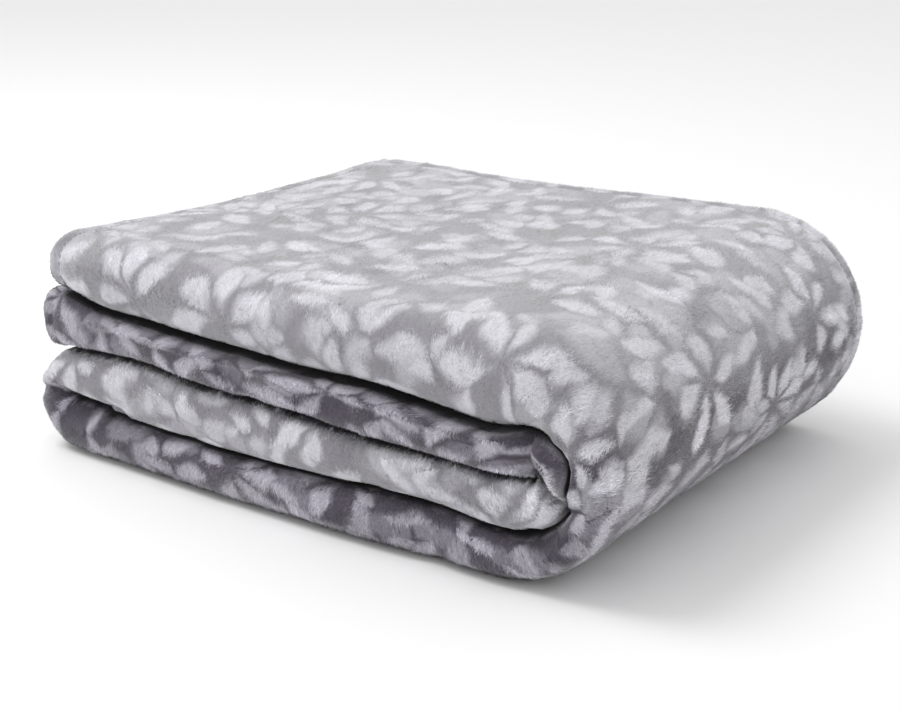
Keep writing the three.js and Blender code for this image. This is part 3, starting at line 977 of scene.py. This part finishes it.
# What a node gives: each step on it adds the node that works it out
class Signal:
    def __init__(self, socket):
        self.socket = socket

    def node(self, kind, inputs, **settings):
        return add_node(self.socket.id_data, kind, inputs, **settings).outputs

    def step(self, kind, inputs, output=0, **settings):
        return Signal(self.node(kind, inputs, **settings)[output])

    def math(self, operation, *others):
        inputs = dict(enumerate((self, *others)))
        return self.step("ShaderNodeMath", inputs, operation=operation)

    def __add__(self, other):
        return self.math("ADD", other)

    def __sub__(self, other):
        return self.math("SUBTRACT", other)

    def __mul__(self, other):
        return self.math("MULTIPLY", other)

    def __truediv__(self, other):
        return self.math("DIVIDE", other)

    # A chance as a size: from the least upwards, or to both sides of nothing
    def varied(self, least, varies):
        return self.math("MULTIPLY_ADD", varies, least)

    def about(self, width):
        return (self - 0.5) * width

    def ramp(self, low, high):
        inputs = {"Value": self, "From Min": low, "From Max": high}
        return self.step("ShaderNodeMapRange", inputs, interpolation_type="SMOOTHSTEP")

    def mix(self, first, second):
        return self.step("ShaderNodeMix", {0: self, 6: first, 7: second}, 2, data_type="RGBA")

    def vector(self, operation, other):
        return self.step("ShaderNodeVectorMath", {0: self, 1: other}, operation=operation)

    def scaled(self, scale):
        return self.step("ShaderNodeVectorMath", {0: self, "Scale": scale}, operation="SCALE")

    def parts(self):
        found = self.node("ShaderNodeSeparateXYZ", {0: self})
        return {name: Signal(found[name]) for name in "XYZ"}

    def noise(self, kind, output="Fac"):
        inputs = {"Vector": self, "Scale": kind["scale"], "Detail": kind["detail"]}
        return self.step("ShaderNodeTexNoise", inputs, output, noise_dimensions="3D")

    # A shift by noise, to all sides of nothing
    def shift(self, kind):
        return self.noise(kind, "Color").vector("SUBTRACT", (0.5, 0.5, 0.5)).scaled(kind["size"])

    # The nearest or second nearest cell: its distance, its middle and its own chances
    def cell(self, feature, randomness):
        inputs = {"Vector": self, "Scale": 1.0, "Randomness": randomness}
        found = self.node("ShaderNodeTexVoronoi", inputs, voronoi_dimensions="2D", feature=feature)
        return {name: Signal(found[name]) for name in ("Distance", "Color", "Position")}

    # Three chances that go with these two numbers
    def chances(self, other):
        place = self.step("ShaderNodeCombineXYZ", {"X": self, "Y": other})
        found = place.step("ShaderNodeTexWhiteNoise", {"Vector": place}, "Color", noise_dimensions="2D")
        return found.parts()


# A soft petal: reach runs from 0 at its pointed end to 1 at its fuller one
def lens(reach, side, width):
    share = reach.math("MAXIMUM", 0.0).math("MINIMUM", 1.0)
    form = (share.math("POWER", PETAL_FULLNESS) * math.pi).math("SINE")
    form = form.math("MAXIMUM", 0.0).math("POWER", PETAL_POINTS)
    inside = form * width - side.math("ABSOLUTE")
    return inside.ramp(-PETAL_OVERLAP * PETAL_SOFTNESS, PETAL_SOFTNESS)


# The petals of a rosette: they spread from its middle, each a little unlike the others
def rosette_petals(offset, distance, border, chance):
    count = chance["Y"].varied(ROSETTE["fewest"], ROSETTE["more"]).math("FLOOR")
    angle = offset["Y"].math("ARCTAN2", offset["X"]) + chance["X"] * SCRAMBLE["turn"]
    steps = angle / math.tau * count
    index = steps.math("FLOOR").math("FLOORED_MODULO", count)
    own = (index + SCRAMBLE["petal"]).chances(chance["Z"] * SCRAMBLE["rosette"])
    lateral = steps.math("FRACT") - 0.5
    gap = lateral.math("ABSOLUTE").ramp(0.5, 0.5 - ROSETTE["gap"])
    lateral = lateral + own["X"].about(ROSETTE["turn_varies"])
    side = distance * (lateral * math.tau / count).math("SINE")
    end = own["Y"].varied(ROSETTE["radius"], ROSETTE["length_varies"])
    reach = (distance - ROSETTE["middle"]) / end
    reach = reach.math("MAXIMUM", border * ROSETTE["at_border"])
    width = own["Z"].varied(ROSETTE["width"], ROSETTE["width_varies"])
    present = own["Z"].math("GREATER_THAN", ROSETTE["missing"])
    strength = present * own["Y"].varied(ROSETTE["strength"], ROSETTE["strength_varies"]) * gap
    return lens(reach, side, width) * strength


# Loose petals, one in most small cells, that turn more or less away from the rosettes
def loose_petals(place, kind):
    shift = (kind["seed"], kind["seed"] * SCRAMBLE["seed"], 0)
    cells = place.vector("ADD", shift).scaled(1 / kind["spacing"])
    nearest = cells.cell("F1", LOOSE["randomness"])
    second = cells.cell("F2", LOOSE["randomness"])
    middle = nearest["Position"].scaled(kind["spacing"]).vector("SUBTRACT", shift)
    middle = middle.scaled(1 / ROSETTE["spacing"])
    rosette = middle.cell("F1", ROSETTE["randomness"])
    away = rosette["Distance"] * ROSETTE["spacing"]
    outward = middle.vector("SUBTRACT", rosette["Position"]).parts()
    chance = nearest["Color"].parts()
    angle = outward["Y"].math("ARCTAN2", outward["X"]) + chance["X"].about(kind["turn_varies"])
    offset = cells.vector("SUBTRACT", nearest["Position"]).scaled(kind["spacing"]).parts()
    cosine = angle.math("COSINE")
    sine = angle.math("SINE")
    forward = offset["X"] * cosine + offset["Y"] * sine
    side = offset["Y"] * cosine - offset["X"] * sine
    length = chance["Y"].varied(kind["length"], kind["length_varies"])
    own = (chance["Z"] * SCRAMBLE["width"]).math("FRACT")
    petal = lens(forward / length + 0.5, side, own.varied(kind["width"], kind["width_varies"]))
    petal = petal * (nearest["Distance"] / second["Distance"]).ramp(1.0, LOOSE["border"])
    petal = petal * away.ramp(LOOSE["from"], LOOSE["from"] + LOOSE["fade"])
    petal = petal * chance["Z"].math("LESS_THAN", kind["share"])
    least = LOOSE["strength"] * kind["strength"]
    return petal * chance["Y"].varied(least, LOOSE["strength_varies"] * kind["strength"])


# The print: rosettes of petals, with loose petals between them
def petal_print(place):
    fray = place.vector("MULTIPLY", FRAY["stretch"]).shift(FRAY)
    place = place.vector("ADD", place.shift(WANDER)).vector("ADD", fray)
    cells = place.scaled(1 / ROSETTE["spacing"])
    nearest = cells.cell("F1", ROSETTE["randomness"])
    second = cells.cell("F2", ROSETTE["randomness"])
    offset = cells.vector("SUBTRACT", nearest["Position"]).parts()
    distance = nearest["Distance"] * ROSETTE["spacing"]
    border = nearest["Distance"] / second["Distance"]
    petals = rosette_petals(offset, distance, border, nearest["Color"].parts())
    for kind in LOOSE_KINDS:
        loose = loose_petals(place, dict(zip(LOOSE_COLUMNS, kind)))
        petals = petals.math("MAXIMUM", loose)
    return petals


def new_material(name):
    material = bpy.data.materials.new(name)
    material.use_nodes = True
    return material, material.node_tree.nodes["Principled BSDF"].inputs


def plush_material(name, sheen):
    material, shader = new_material(name)
    tree = material.node_tree

    def attribute(name, output):
        node = add_node(tree, "ShaderNodeAttribute", {}, attribute_name=name)
        return Signal(node.outputs[output])

    flat = attribute("flat_cloth", "Vector")
    # The nap's painted shade blends between the lighter and darker copies of the ground and the petals
    nap = attribute("nap_shade", "Fac")
    ground = nap.ramp(*GROUND_NAP).mix(GROUND_AGAINST_NAP, GROUND_WITH_NAP)
    petal = nap.ramp(*PETAL_NAP).mix(PETAL_AGAINST_NAP, PETAL_WITH_NAP)
    colour = petal_print(flat).mix(ground, petal)
    grain = flat.vector("MULTIPLY", GRAIN["stretch"]).noise(GRAIN)
    # The colour's tone: a mottle and a grain, times the painted shade of the creases, the roots and the
    # sheet beneath the pile
    tone = flat.noise(MOTTLE).varied(MOTTLE["least"], MOTTLE["varies"])
    tone = tone * grain.varied(GRAIN["least"], GRAIN["varies"]) * attribute("pile_shade", "Fac")
    bump = add_node(tree, "ShaderNodeBump", {
        "Height": grain, "Strength": GRAIN["bump"], "Distance": GRAIN["bump_depth"],
        "Normal": attribute("cloth_normal", "Vector"),
    })
    feed(shader["Base Color"], colour.scaled(tone))
    feed(shader["Normal"], Signal(bump.outputs["Normal"]))
    shader["Roughness"].default_value = PLUSH["roughness"]
    shader["Specular IOR Level"].default_value = PLUSH["specular"]
    shader["Sheen Weight"].default_value = sheen
    shader["Sheen Roughness"].default_value = PLUSH["sheen_roughness"]
    return material


def plain_material(name, colour, roughness):
    material, shader = new_material(name)
    shader["Base Color"].default_value = colour
    shader["Roughness"].default_value = roughness
    return material


def make_floor():
    floor = bmesh.new()
    bmesh.ops.create_grid(floor, x_segments=1, y_segments=1, size=FLOOR["half"])
    mesh = bpy.data.meshes.new("floor")
    floor.to_mesh(mesh)
    floor.free()
    mesh.materials.append(plain_material("pale_floor", FLOOR["colour"], FLOOR["roughness"]))
    made = new_object("floor", mesh)


def make_studio():
    world = bpy.data.worlds.new("studio")
    world.use_nodes = True
    background = world.node_tree.nodes["Background"]
    background.inputs["Color"].default_value = (1, 1, 1, 1)
    background.inputs["Strength"].default_value = STUDIO_STRENGTH
    bpy.context.scene.world = world
    light = bpy.data.lights.new("key", "AREA")
    light.shape = "DISK"
    light.size = KEY_LIGHT["size"]
    light.energy = KEY_LIGHT["power"]
    made = new_object("key", light)
    made.location = KEY_LIGHT["place"]
    x, y, z = np.array(KEY_LIGHT["place"]) - KEY_LIGHT["aim"]
    made.rotation_euler = (math.atan2(math.hypot(x, y), z), 0, math.atan2(y, x) + math.pi / 2)
    bpy.context.scene.view_settings.view_transform = "Standard"


def make_camera():
    camera = bpy.data.cameras.new("camera")
    camera.lens = CAMERA_LENS
    camera.sensor_width = CAMERA_SENSOR
    camera.clip_start = CAMERA_NEAR
    made = new_object("camera", camera)
    made.location = CAMERA_PLACE
    made.rotation_euler = (math.radians(90 - CAMERA_DOWN), 0, math.radians(CAMERA_TURN))
    bpy.context.scene.camera = made


blanket = new_object("mink_blanket", blanket_mesh())
# Three copies of the plush that differ only in sheen, lowered as painted shade against the nap and in
# creases
plush = [plush_material(f"{name}_plush", sheen) for name, sheen in SHEEN.items()]
for material in plush:
    blanket.data.materials.append(material)
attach(blanket, "root")
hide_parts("blanket")
pile = pile_pieces(blanket)
for piece in pile:
    for material in plush:
        piece.data.materials.append(material)
    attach(piece, "root")
stitches = hem_stitches()
stitches.data.materials.append(plain_material("hem_thread", THREAD["colour"], THREAD["roughness"]))
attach(stitches, "root")

make_floor()
make_studio()
make_camera()
